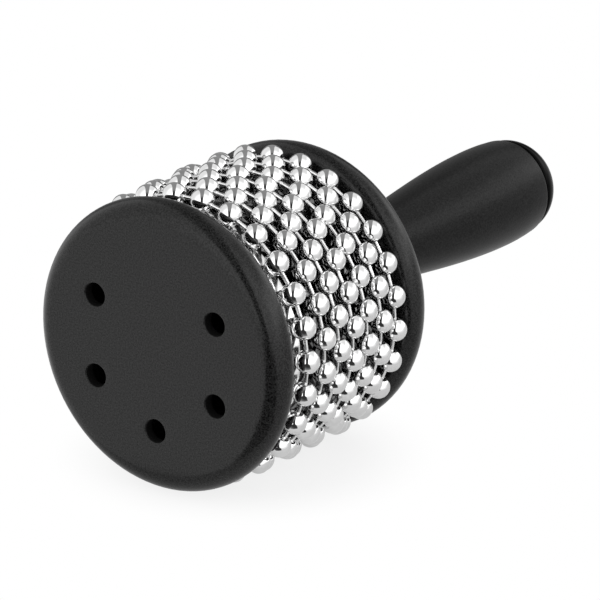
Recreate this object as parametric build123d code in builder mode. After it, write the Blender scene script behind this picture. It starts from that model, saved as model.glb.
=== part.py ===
"""Cabasa: a hand-held shaker with loops of steel bead chain around a textured drum.

Millimetres. The instrument's axis is Y: the front disc's flat face is at Y = 0 and the handle
points to +Y. Z is up, and the front disc's bare place among its vents is at the top.
"""
import os
from math import asin, cos, pi, sin, sqrt

from build123d import *

# Bead chain: hollow balls held together by headed links
ball_diameter = 6.3
ball_wall = 0.5
ball_hole_diameter = 2.1
ball_pitch = 9.4
link_diameter = 1.1
link_head_diameter = 2.7
link_head_length = 0.8
link_head_play = 0.12

# Loops around the drum, with the angle of the first ball of each
loop_count = 7
loop_gap = 0.24
loop_start_angles = (0.7, 6.9, 13.1, 6.2, 10.1, 3.0, 10.4)
front_float = 3.1
first_loop_gap = 1.44
rear_float = 1.8

# Drum: a rolled steel sheet around a moulded core
sleeve_diameter = 71.2
sleeve_wall = 0.6
sleeve_seam = 0.4
core_wall = 2.4
loop_clearance = 0.35
drum_clearance = 0.1

# Discs at both ends of the drum
disc_overhang = 5.4
face_edge_radius = 5.9
bead_edge_radius = 4.0
face_wall = 3.0
seat_depth = 1.2
spigot_wall = 2.2
spigot_length = 4.0
rib_count = 6
rib_width = 1.6
rib_height = 3.0

# Vents in the front disc: one place of the circle stays bare
vent_places = 6
vent_diameter = 6.6
vent_circle_diameter = 46.3
vent_edge_radius = 0.4
bare_place = 90

# Tie bolt from the handle's end to a threaded insert in the front disc
bolt_diameter = 6.0
bolt_clearance = 0.3
bolt_head_diameter = 10.0
bolt_head_height = 6.0
bolt_socket_width = 5.0
bolt_socket_depth = 3.0
insert_diameter = 9.0
insert_length = 10.0
insert_groove_depth = 0.7
insert_groove_length = 2.0
insert_clearance = 0.05
boss_wall = 3.0
washer_diameter = 13.0
washer_thickness = 1.2

# Handle and its end cap
handle_length = 98.5
neck_diameter = 16.6
swell_diameter = 29.9
swell_from_end = 13.0
handle_end_diameter = 28.2
neck_spigot_diameter = 13.0
neck_spigot_length = 3.5
neck_clearance = 0.1
counterbore_diameter = 16.0
counterbore_depth = 24.0
cap_step = 0.35
cap_height = 11.5
cap_lip = 0.8
cap_plug_length = 8.0
cap_plug_bore = 10.0
cap_clearance = 0.1

# Worked out: the chain's circle, and as many balls as fit on it
ball_radius = ball_diameter / 2
sleeve_radius = sleeve_diameter / 2
chain_radius = sleeve_radius + loop_clearance + ball_radius
ball_count = round(pi / asin(ball_pitch / (2 * chain_radius)))
ball_step = 360 / ball_count
chord = 2 * chain_radius * sin(pi / ball_count)
link_radius_on_circle = chain_radius * cos(pi / ball_count)

# Worked out: places along the axis
disc_thickness = face_edge_radius + bead_edge_radius
loop_spacing = ball_diameter + loop_gap
first_loop_y = disc_thickness + front_float + ball_radius
second_loop_y = first_loop_y + ball_diameter + first_loop_gap
loop_places = [first_loop_y] + [second_loop_y + index * loop_spacing for index in range(loop_count - 1)]
rear_disc_y = loop_places[-1] + ball_radius + rear_float
rear_face_y = rear_disc_y + disc_thickness
handle_end_y = rear_face_y + handle_length
counterbore_floor_y = handle_end_y - counterbore_depth
bolt_head_y = counterbore_floor_y + washer_thickness

# Worked out: radii that fit inside one another
sleeve_inner_radius = sleeve_radius - sleeve_wall
core_radius = sleeve_inner_radius - drum_clearance
core_inner_radius = core_radius - core_wall
seat_radius = sleeve_radius + drum_clearance
spigot_radius = core_inner_radius - drum_clearance
spigot_inner_radius = spigot_radius - spigot_wall
disc_radius = sleeve_radius + disc_overhang
bolt_radius = bolt_diameter / 2
bolt_hole_radius = bolt_radius + bolt_clearance
insert_hole_radius = insert_diameter / 2 + insert_clearance
boss_radius = insert_hole_radius + boss_wall
neck_spigot_radius = neck_spigot_diameter / 2
neck_recess_radius = neck_spigot_radius + neck_clearance
neck_recess_depth = neck_spigot_length + neck_clearance
hub_radius = neck_recess_radius + boss_wall
hub_height = neck_recess_depth + face_wall
counterbore_radius = counterbore_diameter / 2
cap_radius = handle_end_diameter / 2 - cap_step

os.makedirs("parts", exist_ok=True)


def disc_section(plane, centre_points):
    """Half section of a disc: x is the radius and y the depth behind its outer face.

    The edge is a quarter circle on the outer side and a smaller one on the bead side. A seat takes
    the drum's end and a spigot reaches into it. centre_points close the outline near the axis.
    """
    seat_y = disc_thickness - seat_depth
    spigot_end = disc_thickness + spigot_length
    with BuildSketch(plane) as section:
        with BuildLine():
            Line(centre_points[-1], (disc_radius - face_edge_radius, 0))
            CenterArc((disc_radius - face_edge_radius, face_edge_radius), face_edge_radius, -90, 90)
            CenterArc((disc_radius - bead_edge_radius, face_edge_radius), bead_edge_radius, 0, 90)
            Polyline(
                (disc_radius - bead_edge_radius, disc_thickness),
                (seat_radius, disc_thickness),
                (seat_radius, seat_y),
                (spigot_radius, seat_y),
                (spigot_radius, spigot_end),
                (spigot_inner_radius, spigot_end),
                (spigot_inner_radius, face_wall),
                *centre_points,
            )
        make_face()
    return section.sketch


def rib_sketch(plane, hub):
    """Radial ribs from a hub to the spigot, halfway between the vents."""
    rib_start = hub - boss_wall / 2
    rib_length = spigot_inner_radius + spigot_wall / 2 - rib_start
    with BuildSketch(plane) as ribs:
        with PolarLocations(rib_start + rib_length / 2, rib_count):
            Rectangle(rib_length, rib_width)
    return ribs.sketch


# Front disc: closed face, five vents, ribs and the boss of the threaded insert
boss_height = face_wall + insert_length
front_centre = [
    (boss_radius, face_wall),
    (boss_radius, boss_height),
    (insert_hole_radius, boss_height),
    (insert_hole_radius, face_wall),
    (0, face_wall),
    (0, 0),
]
vent_circle_radius = vent_circle_diameter / 2
vent_step = 360 / vent_places
first_vent = bare_place + vent_step
vent_range = 360 - 2 * vent_step
with BuildPart() as front_disc:
    revolve(disc_section(Plane.XY, front_centre), axis=Axis.Y)
    extrude(rib_sketch(Plane.XZ.offset(-face_wall), boss_radius), amount=-rib_height)
    with BuildSketch(Plane.XZ) as vents:
        with PolarLocations(vent_circle_radius, vent_places - 1, first_vent, vent_range, endpoint=True):
            Circle(vent_diameter / 2)
    extrude(amount=-face_wall, mode=Mode.SUBTRACT)
    face = front_disc.faces().filter_by(GeomType.PLANE).sort_by(Axis.Y)[0]
    fillet(face.inner_wires().edges(), vent_edge_radius)
front_disc.part.label = "front_disc"
export_step(front_disc.part, "parts/front_disc.step")

# Threaded insert, moulded into the front disc's boss, with a groove that keys it there
insert_end_y = face_wall + insert_length
groove_y = (face_wall + insert_end_y) / 2
with BuildPart() as threaded_insert:
    with BuildSketch(Plane.XY):
        with Locations(((bolt_radius + insert_diameter / 2) / 2 + insert_clearance / 2, groove_y)):
            Rectangle(insert_diameter / 2 - bolt_radius - insert_clearance, insert_length)
        with Locations((insert_diameter / 2, groove_y)):
            Rectangle(2 * insert_groove_depth, insert_groove_length, mode=Mode.SUBTRACT)
    revolve(axis=Axis.Y)
threaded_insert.part.label = "threaded_insert"
export_step(threaded_insert.part, "parts/threaded_insert.step")

# Rear disc: the same rim, with a hub that the handle's neck plugs into
rear_centre = [
    (hub_radius, face_wall),
    (hub_radius, hub_height),
    (bolt_hole_radius, hub_height),
    (bolt_hole_radius, neck_recess_depth),
    (neck_recess_radius, neck_recess_depth),
    (neck_recess_radius, 0),
]
rear_plane = Plane(origin=(0, rear_face_y, 0), x_dir=(1, 0, 0), z_dir=(0, 0, -1))
rear_wall_plane = Plane.XZ.offset(face_wall - rear_face_y)
with BuildPart() as rear_disc:
    revolve(disc_section(rear_plane, rear_centre), axis=Axis.Y)
    extrude(rib_sketch(rear_wall_plane, hub_radius), amount=rib_height)
rear_disc.part.label = "rear_disc"
export_step(rear_disc.part, "parts/rear_disc.step")

# Drum core and the steel sheet rolled around it, both seated in the two discs
drum_start_y = disc_thickness - seat_depth
drum_end_y = rear_disc_y + seat_depth
drum_plane = Plane.XZ.offset(-drum_start_y)
with BuildPart() as drum_core:
    with BuildSketch(drum_plane):
        Circle(core_radius)
        Circle(core_inner_radius, mode=Mode.SUBTRACT)
    extrude(amount=drum_start_y - drum_end_y)
drum_core.part.label = "drum_core"
export_step(drum_core.part, "parts/drum_core.step")

with BuildPart() as textured_sleeve:
    with BuildSketch(drum_plane):
        Circle(sleeve_radius)
        Circle(sleeve_inner_radius, mode=Mode.SUBTRACT)
        with Locations((0, -sleeve_radius)):
            Rectangle(sleeve_seam, 4 * sleeve_wall, mode=Mode.SUBTRACT)
    extrude(amount=drum_start_y - drum_end_y)
textured_sleeve.part.label = "textured_sleeve"
export_step(textured_sleeve.part, "parts/textured_sleeve.step")

# Handle: slim at the neck, swelling towards the end, bored for the tie bolt
swell_y = handle_end_y - swell_from_end
swell_radius = swell_diameter / 2
neck_radius = neck_diameter / 2
handle_end_radius = handle_end_diameter / 2
with BuildPart() as handle:
    with BuildSketch(Plane.XY):
        with BuildLine():
            Polyline(
                (counterbore_radius, handle_end_y),
                (counterbore_radius, counterbore_floor_y),
                (bolt_hole_radius, counterbore_floor_y),
                (bolt_hole_radius, rear_face_y - neck_spigot_length),
                (neck_spigot_radius, rear_face_y - neck_spigot_length),
                (neck_spigot_radius, rear_face_y),
                (neck_radius, rear_face_y),
            )
            Spline((neck_radius, rear_face_y), (swell_radius, swell_y), tangents=((0, 1), (0, 1)))
            TangentArc((swell_radius, swell_y), (handle_end_radius, handle_end_y), tangent=(0, 1))
            Line((handle_end_radius, handle_end_y), (counterbore_radius, handle_end_y))
        make_face()
    revolve(axis=Axis.Y)
handle.part.label = "handle"
export_step(handle.part, "parts/handle.step")

# End cap: a dome on a hollow plug that closes the handle's counterbore
plug_radius = counterbore_radius - cap_clearance
cap_edge = (cap_radius, handle_end_y + cap_lip)
cap_top = (0, handle_end_y + cap_height)
with BuildPart() as handle_end_cap:
    with BuildSketch(Plane.XY):
        with BuildLine():
            Line((cap_radius, handle_end_y), cap_edge)
            Spline(cap_edge, cap_top, tangents=((0, 1), (-1, 0)))
            Polyline(
                cap_top,
                (0, handle_end_y),
                (cap_plug_bore / 2, handle_end_y),
                (cap_plug_bore / 2, handle_end_y - cap_plug_length),
                (plug_radius, handle_end_y - cap_plug_length),
                (plug_radius, handle_end_y),
                (cap_radius, handle_end_y),
            )
        make_face()
    revolve(axis=Axis.Y)
handle_end_cap.part.label = "handle_end_cap"
export_step(handle_end_cap.part, "parts/handle_end_cap.step")

# Tie bolt with a socket head, and the washer under the head
with BuildPart() as tie_bolt:
    with BuildSketch(Plane.XZ.offset(-bolt_head_y)):
        Circle(bolt_head_diameter / 2)
    extrude(amount=-bolt_head_height)
    with BuildSketch(Plane.XZ.offset(-face_wall)):
        Circle(bolt_radius)
    extrude(amount=face_wall - bolt_head_y)
    with BuildSketch(Plane.XZ.offset(-bolt_head_y - bolt_head_height)):
        RegularPolygon(bolt_socket_width / 2, 6, major_radius=False)
    extrude(amount=bolt_socket_depth, mode=Mode.SUBTRACT)
tie_bolt.part.label = "tie_bolt"
export_step(tie_bolt.part, "parts/tie_bolt.step")

with BuildPart() as bolt_washer:
    with BuildSketch(Plane.XZ.offset(-counterbore_floor_y)):
        Circle(washer_diameter / 2)
        Circle(bolt_hole_radius, mode=Mode.SUBTRACT)
    extrude(amount=-washer_thickness)
bolt_washer.part.label = "bolt_washer"
export_step(bolt_washer.part, "parts/bolt_washer.step")

# One ball: a hollow sphere with a hole at each pole, on the chain's line (local Y)
with BuildPart() as ball:
    Sphere(ball_radius)
    Sphere(ball_radius - ball_wall, mode=Mode.SUBTRACT)
    Cylinder(ball_hole_diameter / 2, 2 * ball_diameter, rotation=(90, 0, 0), mode=Mode.SUBTRACT)

# One link: a rod between two balls' centres, with a head just inside each ball's wall
head_room = ball_radius - ball_wall - link_head_play
head_depth = sqrt(head_room**2 - (link_head_diameter / 2) ** 2)
rod_half_length = chord / 2 - head_depth
head_middle = rod_half_length + link_head_length / 2
with BuildPart() as link:
    Cylinder(link_diameter / 2, 2 * rod_half_length, rotation=(90, 0, 0))
    with Locations((0, head_middle, 0), (0, -head_middle, 0)):
        Cylinder(link_head_diameter / 2, link_head_length, rotation=(90, 0, 0))

# Loops: balls and links around the drum, each loop free to turn
for index, loop_y in enumerate(loop_places):
    loop_plane = Plane.XZ.offset(-loop_y)
    start_angle = loop_start_angles[index % len(loop_start_angles)]

    with BuildPart(loop_plane) as chain_balls:
        with PolarLocations(chain_radius, ball_count, start_angle):
            add(ball.part)
    chain_balls.part.label = f"chain_{index + 1}_balls"
    export_step(chain_balls.part, f"parts/chain_{index + 1}_balls.step")

    with BuildPart(loop_plane) as chain_links:
        with PolarLocations(link_radius_on_circle, ball_count, start_angle + ball_step / 2):
            add(link.part)
    chain_links.part.label = f"chain_{index + 1}_links"
    export_step(chain_links.part, f"parts/chain_{index + 1}_links.step")
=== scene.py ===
"""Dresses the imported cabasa: turned black mouldings, embossed steel drum, chromed bead chain, studio."""
import math

import bmesh
import bpy
import numpy as np
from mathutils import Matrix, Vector


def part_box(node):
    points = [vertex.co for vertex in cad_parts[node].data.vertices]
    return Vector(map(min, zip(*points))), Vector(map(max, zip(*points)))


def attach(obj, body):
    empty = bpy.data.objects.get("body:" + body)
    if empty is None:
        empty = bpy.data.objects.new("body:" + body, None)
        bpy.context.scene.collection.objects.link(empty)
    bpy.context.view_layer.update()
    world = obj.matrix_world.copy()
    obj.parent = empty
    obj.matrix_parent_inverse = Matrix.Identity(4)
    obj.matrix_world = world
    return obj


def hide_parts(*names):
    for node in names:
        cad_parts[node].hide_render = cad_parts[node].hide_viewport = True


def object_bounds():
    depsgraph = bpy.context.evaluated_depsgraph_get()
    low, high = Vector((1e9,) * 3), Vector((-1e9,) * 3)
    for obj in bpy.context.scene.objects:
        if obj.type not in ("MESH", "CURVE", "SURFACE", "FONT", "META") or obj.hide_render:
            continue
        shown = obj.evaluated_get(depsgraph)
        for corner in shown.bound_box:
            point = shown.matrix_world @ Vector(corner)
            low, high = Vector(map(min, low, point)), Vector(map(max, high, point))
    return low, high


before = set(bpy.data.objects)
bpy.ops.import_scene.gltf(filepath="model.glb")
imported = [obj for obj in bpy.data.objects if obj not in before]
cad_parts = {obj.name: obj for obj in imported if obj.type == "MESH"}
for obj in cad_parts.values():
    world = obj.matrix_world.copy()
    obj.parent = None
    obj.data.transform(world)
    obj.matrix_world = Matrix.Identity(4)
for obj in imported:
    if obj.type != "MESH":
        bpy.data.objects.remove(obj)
cad_low, cad_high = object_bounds()

MM = 0.001
BODY = "drum"
MERGE_DISTANCE = 1e-7
SHARP_ANGLE = 35.0

# Bead chain: balls a little fuller than the CAD's, inside the same outer circle
LOOP_START_ANGLES = (0.7, 6.9, 13.1, 6.2, 10.1, 3.0, 10.4)
BALLS_PER_LOOP = 26
CHAIN_RADIUS = 38.85 * MM
BALL_RADIUS = 3.4 * MM
BALL_HALF_WIDTH = 3.26 * MM
BALL_HOLE_RADIUS = 1.0 * MM
BALL_DIP = 0.45 * MM
BALL_SIDES = 8
BALL_ROWS = 5
BALL_SUBDIVISIONS = 2
LINK_RADIUS = 0.55 * MM
LINK_INSERTION = 0.45 * MM
LINK_SIDES = 10

# Discs
FACE_EDGE_RADIUS = 5.9 * MM
FACE_EDGE_STEPS = 20
BEAD_EDGE_RADIUS = 4.0 * MM
BEAD_EDGE_STEPS = 14
FACE_WALL = 3.0 * MM
SEAT_DEPTH = 1.2 * MM
SEAT_RADIUS = 35.7 * MM
SPIGOT_RADIUS = 32.4 * MM
SPIGOT_INNER_RADIUS = 30.2 * MM
SPIGOT_LENGTH = 4.0 * MM
BOSS_RADIUS = 7.55 * MM
INSERT_HOLE_RADIUS = 4.55 * MM
INSERT_LENGTH = 10.0 * MM
HUB_RADIUS = 9.6 * MM
HUB_HEIGHT = 6.6 * MM
NECK_RECESS_RADIUS = 6.6 * MM
NECK_RECESS_DEPTH = 3.6 * MM
BOLT_HOLE_RADIUS = 3.3 * MM
VENT_PLACES = 6
BARE_PLACE = 90.0
VENT_RADIUS = 3.3 * MM
VENT_CIRCLE_RADIUS = 23.15 * MM
VENT_EDGE_RADIUS = 0.4 * MM
VENT_EDGE_STEPS = 4
FACE_HUB_RADIUS = 9.0 * MM
SECTOR_STEPS = 16
RADIAL_STEPS = 8
FACE_RINGS = 4
TURN_STEPS = VENT_PLACES * SECTOR_STEPS

# Drum sheet
SLEEVE_RADIUS = 35.4 * MM
SLEEVE_WALL = 0.45 * MM
SLEEVE_TURN_STEPS = 336
SLEEVE_ROWS = 108
SLEEVE_SHARP_ANGLE = 60.0
EMBOSS_AROUND = 28
EMBOSS_ROWS = 9
EMBOSS_HALF_WIDTH = 0.85
EMBOSS_HEIGHT = 0.38 * MM

# Handle and end cap
NECK_RADIUS = 8.3 * MM
NECK_SPIGOT_RADIUS = 6.5 * MM
SWELL_RADIUS = 14.95 * MM
SWELL_FROM_END = 13.0 * MM
HANDLE_END_RADIUS = 14.1 * MM
HANDLE_EDGE_RADIUS = 0.8 * MM
COUNTERBORE_RADIUS = 8.0 * MM
COUNTERBORE_DEPTH = 24.0 * MM
GRIP_STEPS = 60
TAIL_STEPS = 12
HANDLE_EDGE_STEPS = 4
CAP_RADIUS = 13.75 * MM
CAP_LIP = 0.8 * MM
CAP_LIP_STEPS = 5
CAP_FULLNESS = 1.7
CAP_STEPS = 28
CAP_GROOVE_RADIUS = 12.2 * MM
CAP_GROOVE_WIDTH = 0.9 * MM
CAP_OVERLAP = 1.5 * MM
CAP_PLUG_RADIUS = 7.9 * MM
CAP_PLUG_BORE = 5.0 * MM

# Finishes: noise keeps near its middle, so a finish goes from one end to the other over NOISE_SPAN
NOISE_SPAN = (0.3, 0.7)
GRAIN_SCALE = 1700
GRAIN_DEPTH = 0.1 * MM
RAW_ROUGHNESS = 0.95
MOULDED_ROUGHNESS = 0.18
MOULDED_LIGHTEST = 0.018
# Inside the front disc the moulding is raw and rough, and its colour is painted black as shade
RAW_SHADED_FACE_SPAN = (0.1 * MM, VENT_EDGE_RADIUS)
RAW_SHADED_END_SPAN = (16.0 * MM, 19.0 * MM)
# Painted light on the drum sheet: a brighter strip beside the front disc, and painted shade under the chains
LIT_STRIP_SPAN = (16.5 * MM, 19.5 * MM)
LIT_STRIP_GAIN = 0.6
CHAIN_SHADE_SHARE = 0.2
# Painted shade in the sheet's emboss valleys, against bright peaks
SHADED_VALLEY_GREY = 0.003
PEAK_GREY = 0.85
PEAK_CONTRAST = 3.0
PEAK_OFFSET = 0.35
PEAK_WANDER = 0.3
DENT_SHARE = 0.15
CREASE_STRENGTH = 0.6
SHADED_SHARE = 0.8

# Camera, fitted to the photograph
CAMERA_AZIMUTH = 36.04
CAMERA_ELEVATION = 19.77
CAMERA_AIM = Vector((19.07 * MM, 39.88 * MM, 6.77 * MM))
CAMERA_DISTANCE = 1486.0 * MM
CAMERA_LENS = 330.0
CAMERA_SENSOR = 36.0
CAMERA_CLIP_START = 0.05

# Floor, in metres
FLOOR_RADIUS = 0.13
FLOOR_CENTRE_Y = 0.115
FLOOR_COLOUR = 0.6
MIRRORED_SHARE = 0.42
SHADE_CENTRE_Y = 0.04
SHADE_SPAN = (0.2 * FLOOR_RADIUS, 0.42 * FLOOR_RADIUS)
SHADE_WHITE_SHARE = 0.82

# World: levels of light, and the spans of a ray's side, front or up part over which they change
PANEL_LEVEL = 2.2
PANEL_EDGE_LEVEL = 1.0
PANEL_FRONT_SPAN = (-0.2, 0.9)
PANEL_UP_SPAN = (-0.45, 0.4)
PANEL_END_SPAN = (-0.93, -0.75)
LEFT_LOW_LEVEL = 1.4
RIGHT_LOW_LEVEL = 0.85
LOW_SIDE_SPAN = (-0.3, 0.3)
LOW_BACK_SHARE = 0.8
LOW_BACK_SPAN = (-0.3, 0.4)
KEY_LEVEL = 1.6
KEY_SIDE_SPAN = (0.5, 0.8)
KEY_BOTTOM_SPAN = (0.1, 0.35)
KEY_TOP_SPAN = (0.5, 0.7)
ROOM_LEVEL = 0.06
LOW_ROOM_LEVEL = 0.7
ROOM_UP_SPAN = (-0.25, 0.2)
SWEEP_SPAN = (0.985, 0.996)

# The gap between the panels
GAP_LEVEL = 0.04
FAR_GAP_LEVEL = 0.32
GAP_LEVEL_SPAN = (0.12, 0.6)
GAP_HALF_WIDTH = 0.17
GAP_SPREAD = 0.2
GAP_WIDEST = 0.25
GAP_ASIDE = 0.17
GAP_SLANT = 0.1
GAP_EDGE_SPAN = (-0.02, 0.02)
LOW_GAP_EXTRA = 0.25
LOW_GAP_UP_SPAN = (-0.3, 0.0)
LOW_GAP_FRONT_SPAN = (0.1, 0.5)


# Shapes

def arc(centre, radius, start, end, steps):
    """Points of a circle's arc in the (radius, axis) plane, angles in degrees."""
    angles = np.radians(np.linspace(start, end, steps + 1))
    return np.stack([centre[0] + radius * np.cos(angles), centre[1] + radius * np.sin(angles)], 1)


def ease(start, end, steps):
    """Points that go from start to end along the axis with no slope at either end: a smooth step."""
    share = np.linspace(0, 1, steps + 1)
    radius = start[0] + (end[0] - start[0]) * share * share * (3 - 2 * share)
    return np.stack([radius, start[1] + (end[1] - start[1]) * share], 1)


def grid_faces(rows, columns, close_rows=False):
    """Quads of a grid whose columns close round, and whose rows may close too."""
    index = np.arange(rows * columns).reshape(rows, columns)
    lower = index if close_rows else index[:-1]
    upper = np.roll(index, -1, 0) if close_rows else index[1:]
    quads = [lower, np.roll(lower, -1, 1), np.roll(upper, -1, 1), upper]
    return np.stack(quads, -1).reshape(-1, 4)


def turned(profile, closed=False):
    """A profile of (radius, y) carried round the Y axis."""
    profile = np.asarray(profile)
    angles = np.arange(TURN_STEPS) * 2 * np.pi / TURN_STEPS
    radius = profile[:, :1]
    y = np.repeat(profile[:, 1:], TURN_STEPS, 1)
    points = np.stack([radius * np.cos(angles), y, radius * np.sin(angles)], -1)
    return points.reshape(-1, 3), grid_faces(len(profile), TURN_STEPS, closed)


def joined(parts):
    """Several (points, faces) surfaces as one."""
    points = []
    faces = []
    offset = 0
    for part_points, part_faces in parts:
        points.append(part_points)
        faces.append(part_faces + offset)
        offset += len(part_points)
    return np.concatenate(points), np.concatenate(faces)


def add_piece(name, surface, material, body, node, sharp=SHARP_ANGLE, levels=0):
    """A closed mesh from points and quads: doubles merged, faces outwards, smooth up to the sharp angle."""
    points, faces = surface
    mesh = bpy.data.meshes.new(name)
    mesh.from_pydata(points.tolist(), [], faces.tolist())
    work = bmesh.new()
    work.from_mesh(mesh)
    bmesh.ops.remove_doubles(work, verts=work.verts, dist=MERGE_DISTANCE)
    bmesh.ops.recalc_face_normals(work, faces=work.faces)
    work.to_mesh(mesh)
    work.free()
    mesh.shade_smooth()
    mesh.set_sharp_from_angle(angle=math.radians(sharp))
    mesh.materials.append(material)
    piece = bpy.data.objects.new(name, mesh)
    bpy.context.scene.collection.objects.link(piece)
    if levels:
        smooth = piece.modifiers.new("smooth", "SUBSURF")
        smooth.levels = levels
        smooth.render_levels = levels
        piece.modifiers.new("even_shading", "WEIGHTED_NORMAL")
    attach(piece, body)
    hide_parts(node)


def sector_outline(outer, inner):
    """Outline of each vent's sector of a ring: outer arc, radius, inner arc, radius."""
    half = 180 / VENT_PLACES
    centres = BARE_PLACE + np.arange(VENT_PLACES) * 2 * half
    sweep = np.linspace(-half, half, SECTOR_STEPS + 1)
    inward = np.linspace(outer, inner, RADIAL_STEPS + 1)
    right = np.full(RADIAL_STEPS, half)
    offsets = np.concatenate([sweep[:-1], right, sweep[:0:-1], -right])
    outer_radii = np.full(SECTOR_STEPS, outer)
    inner_radii = np.full(SECTOR_STEPS, inner)
    radii = np.concatenate([outer_radii, inward[:-1], inner_radii, inward[:0:-1]])
    angles = np.radians(centres[:, None] + offsets)
    return np.stack([radii * np.cos(angles), radii * np.sin(angles)], -1)


def vented_face(front_radius, back_radius):
    """The front disc's wall: each sector is a grid from the back, through its vent, to the front.

    A ring of the vent looks along the same directions as the sector's outline, so the rows between them
    are straight blends. The sector of the bare place runs to a single point on each side instead.
    """
    front = sector_outline(front_radius, FACE_HUB_RADIUS)
    back = sector_outline(back_radius, FACE_HUB_RADIUS)
    angles = np.radians(BARE_PLACE + np.arange(VENT_PLACES) * 360 / VENT_PLACES)
    centres = VENT_CIRCLE_RADIUS * np.stack([np.cos(angles), np.sin(angles)], -1)[:, None]
    away = front - centres
    away = away / np.linalg.norm(away, axis=-1, keepdims=True)
    edge_centre = (VENT_RADIUS + VENT_EDGE_RADIUS, VENT_EDGE_RADIUS)
    lip = arc(edge_centre, VENT_EDGE_RADIUS, 180, 270, VENT_EDGE_STEPS)
    blend = np.linspace(0, 1, FACE_RINGS + 1)[1:]
    parts = []
    for place in range(VENT_PLACES):
        bare = place == 0
        back_ring = centres[place] + (0.0 if bare else VENT_RADIUS) * away[place]
        back_rows = [(back_ring * (1 - share) + back[place] * share, FACE_WALL) for share in blend[::-1]]
        back_rows.append((back_ring, FACE_WALL))
        vent = [(0.0, 0.0)] if bare else lip
        vent_rows = [(centres[place] + radius * away[place], y) for radius, y in vent]
        front_ring = vent_rows[-1][0]
        front_rows = [(front_ring * (1 - share) + front[place] * share, 0.0) for share in blend]
        strips = [back_rows, vent_rows + front_rows] if bare else [back_rows + vent_rows + front_rows]
        for strip in strips:
            rings = [np.stack([ring[:, 0], np.full(len(ring), y), ring[:, 1]], -1) for ring, y in strip]
            parts.append((np.concatenate(rings), grid_faces(len(rings), len(rings[0]))))
    return joined(parts)


def disc_rim(radius):
    """Profile of a disc's rim, from the outer face round both edges to the drum's seat and the spigot."""
    thickness = FACE_EDGE_RADIUS + BEAD_EDGE_RADIUS
    seat = thickness - SEAT_DEPTH
    spigot_end = thickness + SPIGOT_LENGTH
    face_centre = (radius - FACE_EDGE_RADIUS, FACE_EDGE_RADIUS)
    bead_centre = (radius - BEAD_EDGE_RADIUS, FACE_EDGE_RADIUS)
    outer = arc(face_centre, FACE_EDGE_RADIUS, -90, 0, FACE_EDGE_STEPS)
    inner = arc(bead_centre, BEAD_EDGE_RADIUS, 0, 90, BEAD_EDGE_STEPS)[1:]
    seats = [
        (SEAT_RADIUS, thickness),
        (SEAT_RADIUS, seat),
        (SPIGOT_RADIUS, seat),
        (SPIGOT_RADIUS, spigot_end),
        (SPIGOT_INNER_RADIUS, spigot_end),
        (SPIGOT_INNER_RADIUS, FACE_WALL),
    ]
    return np.concatenate([outer, inner, np.array(seats)])


def front_disc_surface():
    """The front disc: turned rim, vented wall, the face's middle and the boss behind it."""
    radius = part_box("front_disc")[1].x
    boss_end = FACE_WALL + INSERT_LENGTH
    boss = [
        (FACE_HUB_RADIUS, FACE_WALL),
        (BOSS_RADIUS, FACE_WALL),
        (BOSS_RADIUS, boss_end),
        (INSERT_HOLE_RADIUS, boss_end),
        (INSERT_HOLE_RADIUS, FACE_WALL),
        (0, FACE_WALL),
    ]
    middle = [(0, 0), (FACE_HUB_RADIUS, 0)]
    wall = vented_face(radius - FACE_EDGE_RADIUS, SPIGOT_INNER_RADIUS)
    return joined([turned(disc_rim(radius)), wall, turned(boss), turned(middle)])


def rear_disc_surface():
    """The rear disc: the same rim turned round, with the hub that the neck plugs into."""
    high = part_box("rear_disc")[1]
    hub = [
        (HUB_RADIUS, FACE_WALL),
        (HUB_RADIUS, HUB_HEIGHT),
        (BOLT_HOLE_RADIUS, HUB_HEIGHT),
        (BOLT_HOLE_RADIUS, NECK_RECESS_DEPTH),
        (NECK_RECESS_RADIUS, NECK_RECESS_DEPTH),
        (NECK_RECESS_RADIUS, 0),
    ]
    profile = np.concatenate([disc_rim(high.x), np.array(hub)])
    profile[:, 1] = high.y - profile[:, 1]
    return turned(profile, closed=True)


def sleeve_surface():
    """The drum's sheet: rows of raised diamonds, every other row half a step on, over a plain inner wall.

    A diamond's height falls evenly from its middle to its four sides, by its offsets across and along.
    """
    low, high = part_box("textured_sleeve")
    turns = np.arange(SLEEVE_TURN_STEPS) / SLEEVE_TURN_STEPS
    shares = np.linspace(0, 1, SLEEVE_ROWS + 1)
    row_place, turn_place = np.meshgrid(shares * EMBOSS_ROWS, turns * EMBOSS_AROUND, indexing="ij")
    height = np.zeros_like(turn_place)
    for shift in (0.0, 0.5):
        across = np.abs((turn_place + shift) % 1 - 0.5) * 2
        along = np.abs((row_place + shift) % 1 - 0.5) * 2
        height = np.maximum(height, 1 - (across + along) / EMBOSS_HALF_WIDTH)
    radius = SLEEVE_RADIUS - EMBOSS_HEIGHT * (1 - height)
    angles = turns * 2 * np.pi
    y = low.y + (high.y - low.y) * np.repeat(shares[:, None], SLEEVE_TURN_STEPS, 1)
    outer = np.stack([radius * np.cos(angles), y, radius * np.sin(angles)], -1)
    ring = np.stack([np.cos(angles), np.zeros_like(angles), np.sin(angles)], -1)
    inner = ring * (SLEEVE_RADIUS - SLEEVE_WALL) + np.array([[[0, high.y, 0]], [[0, low.y, 0]]])
    rows = np.concatenate([outer, inner])
    return rows.reshape(-1, 3), grid_faces(len(rows), SLEEVE_TURN_STEPS, close_rows=True)


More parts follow.
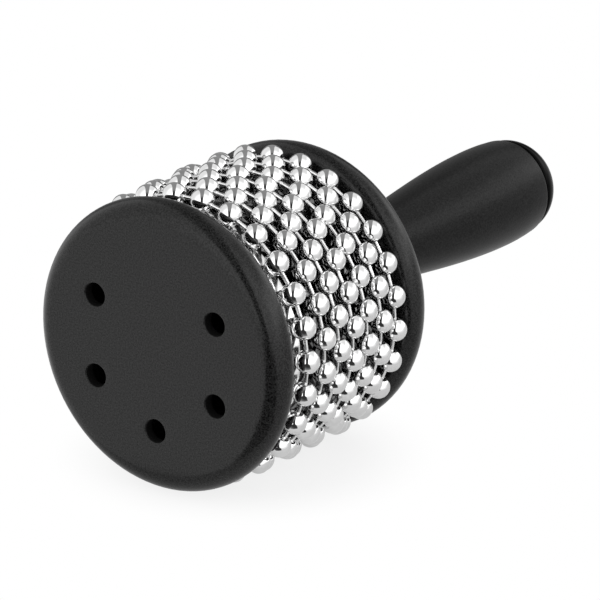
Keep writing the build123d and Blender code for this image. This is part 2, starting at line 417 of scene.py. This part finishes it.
def handle_surface():
    """The grip: a smooth step from neck to swell, then a gentle arc in to the end's rounded edge."""
    low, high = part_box("handle")
    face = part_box("rear_disc")[1].y
    end = high.y - CAP_OVERLAP
    swell = high.y - SWELL_FROM_END
    drop = SWELL_RADIUS - HANDLE_END_RADIUS
    bow = (SWELL_FROM_END ** 2 + drop ** 2) / (2 * drop)
    edge_y = end - HANDLE_EDGE_RADIUS
    bow_angle = math.degrees(math.asin((edge_y - swell) / bow))
    grip = ease((NECK_RADIUS, face), (SWELL_RADIUS, swell), GRIP_STEPS)
    tail = arc((SWELL_RADIUS - bow, swell), bow, 0, bow_angle, TAIL_STEPS)[1:]
    edge_centre = (tail[-1, 0] - HANDLE_EDGE_RADIUS, edge_y)
    edge = arc(edge_centre, HANDLE_EDGE_RADIUS, 0, 90, HANDLE_EDGE_STEPS)[1:]
    floor = high.y - COUNTERBORE_DEPTH
    inside = [
        (COUNTERBORE_RADIUS, end),
        (COUNTERBORE_RADIUS, floor),
        (BOLT_HOLE_RADIUS, floor),
        (BOLT_HOLE_RADIUS, low.y),
        (NECK_SPIGOT_RADIUS, low.y),
        (NECK_SPIGOT_RADIUS, face),
    ]
    return turned(np.concatenate([grip, tail, edge, np.array(inside)]), closed=True)


def cap_surface():
    """The end cap: a hollow plug, a groove, a lip and a dome slimmer than an ellipse."""
    low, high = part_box("handle_end_cap")
    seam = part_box("handle")[1].y - CAP_OVERLAP
    lip = seam + CAP_GROOVE_WIDTH + CAP_LIP
    unit = np.abs(arc((0, 0), 1.0, 0, 90, CAP_STEPS)) ** (2 / CAP_FULLNESS)
    dome = unit * np.array([CAP_RADIUS, high.y - lip]) + np.array([0, lip])
    dome[-1, 0] = 0
    foot = arc((CAP_RADIUS - CAP_LIP, lip), CAP_LIP, -90, 0, CAP_LIP_STEPS)[:-1]
    plug = [
        (0, seam),
        (CAP_PLUG_BORE, seam),
        (CAP_PLUG_BORE, low.y),
        (CAP_PLUG_RADIUS, low.y),
        (CAP_PLUG_RADIUS, seam),
        (CAP_GROOVE_RADIUS, seam),
        (CAP_GROOVE_RADIUS, seam + CAP_GROOVE_WIDTH),
    ]
    return turned(np.concatenate([np.array(plug), foot, dome]))


def spun(profile, sides):
    """A (radius, along) profile spun round the chain's line, as local (radial, axial, along) points."""
    angles = np.arange(sides) * 2 * np.pi / sides
    radius = profile[:, :1]
    along = np.repeat(profile[:, 1:], sides, 1)
    points = np.stack([radius * np.cos(angles), radius * np.sin(angles), along], -1)
    return points.reshape(-1, 3), grid_faces(len(profile), sides)


def repeated(local, faces, angles, radius, y):
    """A small shape of local (radial, axial, along) points placed at each angle of a loop, as one surface."""
    flat = np.zeros_like(angles)
    outward = np.stack([np.cos(angles), flat, np.sin(angles)], -1)[:, None]
    onward = np.stack([-np.sin(angles), flat, np.cos(angles)], -1)[:, None]
    axial = np.array([0.0, 1.0, 0.0])
    radial_part, axial_part, along_part = np.split(local, 3, 1)
    points = outward * (radius + radial_part) + axial * (axial_part + y) + onward * along_part
    all_faces = faces + (np.arange(len(angles)) * len(local))[:, None, None]
    return points.reshape(-1, 3), all_faces.reshape(-1, 4)


def bead_surface(start, y):
    """Balls: a sphere from one hole's lip to the other's, each hole dipping in to the middle line.

    The coarse cage is widened by the share that subdivision takes off a circle of as many sides, and
    narrowed a little along the drum's axis, where the balls of two loops pass one another.
    """
    hole = math.degrees(math.asin(BALL_HOLE_RADIUS / BALL_RADIUS))
    step = (180 - 2 * hole) / BALL_ROWS
    angles = np.radians(np.linspace(hole, 180 - hole, BALL_ROWS + 1))
    around = 3 / (2 + math.cos(2 * math.pi / BALL_SIDES))
    down = 3 / (2 + math.cos(math.radians(step)))
    sphere = np.stack([np.sin(angles) * around * down, -np.cos(angles) * down], -1) * BALL_RADIUS
    floor = sphere[0, 1] + BALL_DIP
    start_rows = [(0, floor), (BALL_HOLE_RADIUS, floor)]
    end_rows = [(BALL_HOLE_RADIUS, -floor), (0, -floor)]
    profile = np.concatenate([np.array(start_rows), sphere, np.array(end_rows)])
    local, faces = spun(profile, BALL_SIDES)
    local = local * np.array([1.0, BALL_HALF_WIDTH / BALL_RADIUS, 1.0])
    turns = np.radians(start + np.arange(BALLS_PER_LOOP) * 360 / BALLS_PER_LOOP)
    return repeated(local, faces, turns, CHAIN_RADIUS, y)


def link_surface(start, y):
    """Links: round rods between the balls, closed where they end inside them."""
    half_step = math.pi / BALLS_PER_LOOP
    half = CHAIN_RADIUS * math.sin(half_step) - BALL_RADIUS + LINK_INSERTION
    profile = np.array([(0, -half), (LINK_RADIUS, -half), (LINK_RADIUS, half), (0, half)])
    local, faces = spun(profile, LINK_SIDES)
    turns = np.radians(start) + half_step + np.arange(BALLS_PER_LOOP) * 2 * half_step
    return repeated(local, faces, turns, CHAIN_RADIUS * math.cos(half_step), y)


# Shader maths

class Value:
    """A socket that Python's operators extend with Math nodes."""

    def __init__(self, tree, socket):
        self.tree = tree
        self.socket = socket

    def math(self, operation, *others, swap=False):
        """The result of a Math node on this value and the others, in the other order if swapped."""
        node = self.tree.nodes.new("ShaderNodeMath")
        node.operation = operation
        terms = [self, *others]
        if swap:
            terms.reverse()
        for term, socket in zip(terms, node.inputs):
            if isinstance(term, Value):
                self.tree.links.new(term.socket, socket)
            else:
                socket.default_value = term
        return Value(self.tree, node.outputs[0])

    def __add__(self, other):
        return self.math("ADD", other)

    def __sub__(self, other):
        return self.math("SUBTRACT", other)

    def __rsub__(self, other):
        return self.math("SUBTRACT", other, swap=True)

    def __mul__(self, other):
        return self.math("MULTIPLY", other)

    def __truediv__(self, other):
        return self.math("DIVIDE", other)

    __radd__ = __add__
    __rmul__ = __mul__


class Graph:
    """A node tree with one method that adds any node."""

    def __init__(self, tree):
        self.tree = tree
        tree.nodes.clear()

    def node(self, kind, settings=None, inputs=None, output=0):
        """Adds a node with its settings and inputs, and gives one of its outputs if it has any."""
        node = self.tree.nodes.new(kind)
        for name, value in (settings or {}).items():
            setattr(node, name, value)
        for name, value in (inputs or {}).items():
            socket = node.inputs[name]
            if isinstance(value, Value):
                self.tree.links.new(value.socket, socket)
            else:
                socket.default_value = value
        return Value(self.tree, node.outputs[output]) if node.outputs else None

    def ramp(self, mask, dark, light):
        """A colour that goes from dark to light as the mask crosses NOISE_SPAN."""
        node = self.tree.nodes.new("ShaderNodeValToRGB")
        for element, place, colour in zip(node.color_ramp.elements, NOISE_SPAN, (dark, light)):
            element.position = place
            element.color = colour
        self.tree.links.new(mask.socket, node.inputs["Fac"])
        return Value(self.tree, node.outputs["Color"])


def grey(level):
    """An opaque grey."""
    return (level, level, level, 1.0)


def noise(graph, place, scale, detail=2.0):
    """Noise with about scale cells to the metre."""
    return graph.node("ShaderNodeTexNoise", inputs={"Vector": place, "Scale": scale, "Detail": detail})


def smooth_step(graph, value, span, at_low, at_high):
    """at_low below the span, at_high above it, and an S curve between."""
    return graph.node("ShaderNodeMapRange", {"interpolation_type": "SMOOTHSTEP"}, {
        "Value": value, "From Min": span[0], "From Max": span[1], "To Min": at_low, "To Max": at_high})


def axis_distance(graph, place):
    """Distance from the instrument's axis."""
    across = graph.node("ShaderNodeVectorMath", {"operation": "MULTIPLY"}, {0: place, 1: (1.0, 0.0, 1.0)})
    return graph.node("ShaderNodeVectorMath", {"operation": "LENGTH"}, {0: across}, output="Value")


def axis_place(graph, place):
    """Place along the instrument's axis, from the front disc's face."""
    return graph.node("ShaderNodeSeparateXYZ", inputs={"Vector": place}, output="Y")


def speckle(dark, light, scale, detail=2.0):
    """A colour that wanders between two colours."""
    def build(graph, place):
        return graph.ramp(noise(graph, place, scale, detail), dark, light)
    return build


def uneven(least, spread, scale, detail=2.0):
    """A roughness that wanders upwards from the least by up to the spread."""
    def build(graph, place):
        return least + spread * noise(graph, place, scale, detail)
    return build


def grain_bump(strength):
    """The fine raised grain of a moulding."""
    def build(graph, place):
        height = noise(graph, place, GRAIN_SCALE, detail=3.0)
        return graph.node("ShaderNodeBump", inputs={
            "Height": height, "Strength": strength, "Distance": GRAIN_DEPTH})
    return build


def finish(name, colour, roughness, metallic=0.0, bump=None, specular=0.5):
    """A Principled material. colour, roughness and bump are functions of the graph and Object coordinates."""
    material = bpy.data.materials.new(name)
    material.use_nodes = True
    graph = Graph(material.node_tree)
    place = graph.node("ShaderNodeTexCoord", output="Object")
    inputs = {
        "Base Color": colour(graph, place),
        "Roughness": roughness(graph, place),
        "Metallic": metallic,
        "Specular IOR Level": specular,
    }
    if bump:
        inputs["Normal"] = bump(graph, place)
    shader = graph.node("ShaderNodeBsdfPrincipled", inputs=inputs)
    graph.node("ShaderNodeOutputMaterial", inputs={"Surface": shader})
    return material


# Finishes

def moulded_black():
    """Black moulding with a fine grain; inside the front disc, which shows through the vents, it is raw and
    dull, and its colour falls to black as painted shade.
    """
    def skin_and_shade(graph, place):
        along = axis_place(graph, place)
        distance = axis_distance(graph, place)
        rim = smooth_step(graph, distance, (SPIGOT_INNER_RADIUS, SPIGOT_RADIUS), 0.0, 1.0)
        face = smooth_step(graph, along, RAW_SHADED_FACE_SPAN, 1.0, 0.0)
        back = smooth_step(graph, along, RAW_SHADED_END_SPAN, 0.0, 1.0)
        return rim.math("MAXIMUM", face).math("MAXIMUM", back)

    def colour(graph, place):
        grain = noise(graph, place, scale=2200, detail=3.0)
        # Inside the front disc the colour falls to black: painted shade behind the vents
        return smooth_step(graph, grain, NOISE_SPAN, 0.0, MOULDED_LIGHTEST) * skin_and_shade(graph, place)

    def roughness(graph, place):
        sheen = RAW_ROUGHNESS - MOULDED_ROUGHNESS - 0.06 * noise(graph, place, scale=1800)
        return RAW_ROUGHNESS - sheen * skin_and_shade(graph, place)

    return finish("moulded_black", colour, roughness, bump=grain_bump(strength=0.10), specular=0.21)


def grip_black():
    """Matte black grip with a fine grain, duller than the discs, its sheen in broad faint patches."""
    def roughness(graph, place):
        patches = 0.06 * noise(graph, place, scale=60)
        return 0.24 + patches + 0.06 * noise(graph, place, scale=2600)

    colour = speckle(grey(0.0), grey(0.015), scale=2200, detail=3.0)
    return finish("grip_black", colour, roughness, bump=grain_bump(strength=0.30), specular=0.085)


def gloss_black():
    """Polished black end cap with faint handling marks."""
    colour = speckle(grey(0.001), grey(0.003), scale=400)
    roughness = uneven(least=0.03, spread=0.05, scale=220, detail=4.0)
    return finish("gloss_black", colour, roughness, specular=0.03)


def inner_black():
    """Unpolished black inside the drum."""
    colour = speckle(grey(0.006), grey(0.010), scale=900)
    return finish("inner_black", colour, uneven(least=0.60, spread=0.10, scale=900))


def link_chrome():
    """Drawn wire, a little duller than the beads."""
    colour = speckle(grey(0.68), grey(0.78), scale=500)
    roughness = uneven(least=0.24, spread=0.06, scale=900, detail=3.0)
    return finish("link_chrome", colour, roughness, metallic=1.0)


def bead_chrome():
    """Mirror plating with faint rolling marks."""
    colour = speckle(grey(0.70), grey(0.77), scale=500)
    roughness = uneven(least=0.01, spread=0.03, scale=900, detail=3.0)
    return finish("bead_chrome", colour, roughness, metallic=1.0)


def sheet_steel():
    """Embossed sheet with painted shade in its valleys, painted light beside the front disc and painted shade
    under the chains.
    """
    def raised(graph, place):
        valley = SLEEVE_RADIUS - EMBOSS_HEIGHT
        return (axis_distance(graph, place) - valley) / EMBOSS_HEIGHT

    def crease(graph, place):
        height = raised(graph, place) + DENT_SHARE * noise(graph, place, scale=500)
        return graph.node("ShaderNodeBump", inputs={
            "Height": height, "Strength": CREASE_STRENGTH, "Distance": EMBOSS_HEIGHT})

    def colour(graph, place):
        # Painted light beside the front disc and painted shade under the chains, along the axis
        strip = smooth_step(graph, axis_place(graph, place), LIT_STRIP_SPAN, 1.0, 0.0)
        wander = PEAK_WANDER * noise(graph, place, scale=350, detail=4.0)
        # Painted shade in the valleys: the colour goes dark where the sheet sinks between the diamonds
        lit_peaks = PEAK_CONTRAST * raised(graph, place) - PEAK_OFFSET + wander + LIT_STRIP_GAIN * strip
        bright = smooth_step(graph, lit_peaks, NOISE_SPAN, SHADED_VALLEY_GREY, PEAK_GREY)
        return bright * (CHAIN_SHADE_SHARE + (1 - CHAIN_SHADE_SHARE) * strip)

    roughness = uneven(least=0.12, spread=0.12, scale=700, detail=4.0)
    return finish("sheet_steel", colour, roughness, metallic=1.0, bump=crease)


def plain_metal(name, red, green, blue):
    """Plated hardware inside the drum."""
    light = (red, green, blue, 1.0)
    dark = (SHADED_SHARE * red, SHADED_SHARE * green, SHADED_SHARE * blue, 1.0)
    colour = speckle(dark, light, scale=600, detail=3.0)
    return finish(name, colour, uneven(least=0.28, spread=0.12, scale=800), metallic=1.0)


# Pieces

moulding = moulded_black()
chrome = bead_chrome()
wire = link_chrome()
steel = sheet_steel()
add_piece("front_disc_shell", front_disc_surface(), moulding, BODY, "front_disc")
add_piece("rear_disc_shell", rear_disc_surface(), moulding, BODY, "rear_disc")
add_piece("embossed_sheet", sleeve_surface(), steel, BODY, "textured_sleeve",
          sharp=SLEEVE_SHARP_ANGLE)
add_piece("grip", handle_surface(), grip_black(), BODY, "handle")
add_piece("end_cap", cap_surface(), gloss_black(), BODY, "handle_end_cap")

for number, start_angle in enumerate(LOOP_START_ANGLES, 1):
    chain = f"chain_{number}"
    low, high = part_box(f"{chain}_balls")
    loop_y = (low.y + high.y) / 2
    add_piece(f"{chain}_beads", bead_surface(start_angle, loop_y), chrome, chain,
              f"{chain}_balls", sharp=180.0, levels=BALL_SUBDIVISIONS)
    add_piece(f"{chain}_rods", link_surface(start_angle, loop_y), wire, chain,
              f"{chain}_links")

# The CAD's own solids that stay, inside the drum
hidden_finishes = {
    "drum_core": inner_black(),
    "tie_bolt": plain_metal("bolt_steel", 0.55, 0.55, 0.56),
    "bolt_washer": plain_metal("washer_steel", 0.50, 0.50, 0.51),
    "threaded_insert": plain_metal("insert_brass", 0.72, 0.56, 0.28),
}
for node_name, material in hidden_finishes.items():
    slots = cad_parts[node_name].data.materials
    slots.clear()
    slots.append(material)


# Studio

def camera():
    """A long lens at the photograph's angle."""
    azimuth = math.radians(CAMERA_AZIMUTH)
    elevation = math.radians(CAMERA_ELEVATION)
    level = math.cos(elevation)
    back = Vector((math.sin(azimuth) * level, -math.cos(azimuth) * level, math.sin(elevation)))
    data = bpy.data.cameras.new("camera")
    data.lens = CAMERA_LENS
    data.sensor_width = CAMERA_SENSOR
    data.clip_start = CAMERA_CLIP_START
    holder = bpy.data.objects.new("camera", data)
    holder.location = CAMERA_AIM + back * CAMERA_DISTANCE
    holder.rotation_euler = (-back).to_track_quat("-Z", "Y").to_euler()
    bpy.context.scene.collection.objects.link(holder)
    bpy.context.scene.camera = holder


def ray_is(graph, kind):
    """1 on rays of the kind, else 0."""
    return graph.node("ShaderNodeLightPath", output=f"Is {kind} Ray")


def studio_floor(height):
    """A round table with the object's soft shadow, which fades to plain white well before the rim."""
    mesh = bpy.data.meshes.new("floor")
    angles = np.arange(TURN_STEPS) * 2 * np.pi / TURN_STEPS
    x = FLOOR_RADIUS * np.cos(angles)
    y = FLOOR_RADIUS * np.sin(angles) + FLOOR_CENTRE_Y
    points = np.stack([x, y, np.full(TURN_STEPS, height)], -1)
    mesh.from_pydata(points.tolist(), [], [list(range(TURN_STEPS))])
    floor = bpy.data.objects.new("floor", mesh)
    bpy.context.scene.collection.objects.link(floor)
    material = bpy.data.materials.new("floor_white")
    material.use_nodes = True
    graph = Graph(material.node_tree)
    place = graph.node("ShaderNodeTexCoord", output="Object")
    middle = (0.0, SHADE_CENTRE_Y, height)
    distance = graph.node(
        "ShaderNodeVectorMath", {"operation": "DISTANCE"}, {0: place, 1: middle}, output="Value")
    fade = smooth_step(graph, distance, SHADE_SPAN, SHADE_WHITE_SHARE, 1.0)
    mirrored = ray_is(graph, "Glossy").math("MAXIMUM", ray_is(graph, "Transmission"))
    share = ray_is(graph, "Camera") * fade + mirrored * MIRRORED_SHARE
    matte = graph.node("ShaderNodeBsdfDiffuse", inputs={"Color": grey(FLOOR_COLOUR)})
    glow = graph.node("ShaderNodeEmission", inputs={"Color": grey(1.0), "Strength": 1.0})
    mixed = graph.node("ShaderNodeMixShader", inputs={0: share, 1: matte, 2: glow})
    graph.node("ShaderNodeOutputMaterial", inputs={"Surface": mixed})
    mesh.materials.append(material)


def studio_world():
    """White for the camera from every side, and for other rays a studio laid out by their direction.

    A panel on each side of the camera reaches overhead, with a brighter strip on the right one. The gap
    between them is nearly black towards the camera and grey elsewhere. Low down the light is plainer and
    stronger on the left, and the far side is a dim room with a white sweep straight behind the object.
    """
    world = bpy.data.worlds.new("studio")
    bpy.context.scene.world = world
    world.use_nodes = True
    graph = Graph(world.node_tree)
    direction = graph.node("ShaderNodeTexCoord", output="Generated")
    azimuth = math.radians(CAMERA_AZIMUTH)
    elevation = math.radians(CAMERA_ELEVATION)

    def part(axis):
        return graph.node(
            "ShaderNodeVectorMath", {"operation": "DOT_PRODUCT"}, {0: direction, 1: axis}, output="Value")

    def step(value, span, at_low, at_high):
        return smooth_step(graph, value, span, at_low, at_high)

    side = part((math.cos(azimuth), math.sin(azimuth), 0.0))
    front = part((math.sin(azimuth), -math.cos(azimuth), 0.0))
    up = part((0.0, 0.0, 1.0))
    away = 1 - front

    low_gap = step(up, LOW_GAP_UP_SPAN, LOW_GAP_EXTRA, 0.0) * step(front, LOW_GAP_FRONT_SPAN, 0.0, 1.0)
    half_gap = (GAP_HALF_WIDTH + GAP_SPREAD * away).math("MINIMUM", GAP_WIDEST) + low_gap
    from_middle = side + GAP_ASIDE - GAP_SLANT * away.math("MINIMUM", 1.0)
    gap = step(half_gap - from_middle.math("ABSOLUTE"), GAP_EDGE_SPAN, 0.0, 1.0)
    gap_level = step(away, GAP_LEVEL_SPAN, GAP_LEVEL, FAR_GAP_LEVEL)

    high = step(up, PANEL_UP_SPAN, 0.0, 1.0)
    high_level = step(front, PANEL_FRONT_SPAN, PANEL_EDGE_LEVEL, PANEL_LEVEL)
    low_level = step(side, LOW_SIDE_SPAN, LEFT_LOW_LEVEL, RIGHT_LOW_LEVEL)
    low_level = low_level * step(front, LOW_BACK_SPAN, LOW_BACK_SHARE, 1.0)
    strip = step(up, KEY_BOTTOM_SPAN, 0.0, 1.0) * step(up, KEY_TOP_SPAN, 1.0, 0.0)
    key = step(side, KEY_SIDE_SPAN, 0.0, KEY_LEVEL) * strip
    panels = low_level * (1 - high) + high_level * high + key

    reach = step(front, PANEL_END_SPAN, 0.0, 1.0)
    room = step(up, ROOM_UP_SPAN, LOW_ROOM_LEVEL, ROOM_LEVEL)
    lit = gap * gap_level + (1 - gap) * (panels * reach + (1 - reach) * room)
    behind = front * -math.cos(elevation) + up * -math.sin(elevation)
    sweep = step(behind, SWEEP_SPAN, 0.0, 1.0)
    white = sweep.math("MAXIMUM", ray_is(graph, "Camera"))
    level = white + (1 - white) * lit
    light = graph.node("ShaderNodeBackground", inputs={"Color": grey(1.0), "Strength": level})
    graph.node("ShaderNodeOutputWorld", inputs={"Surface": light})


camera()
studio_floor(cad_low.z)
studio_world()
bpy.context.scene.view_settings.view_transform = "Standard"
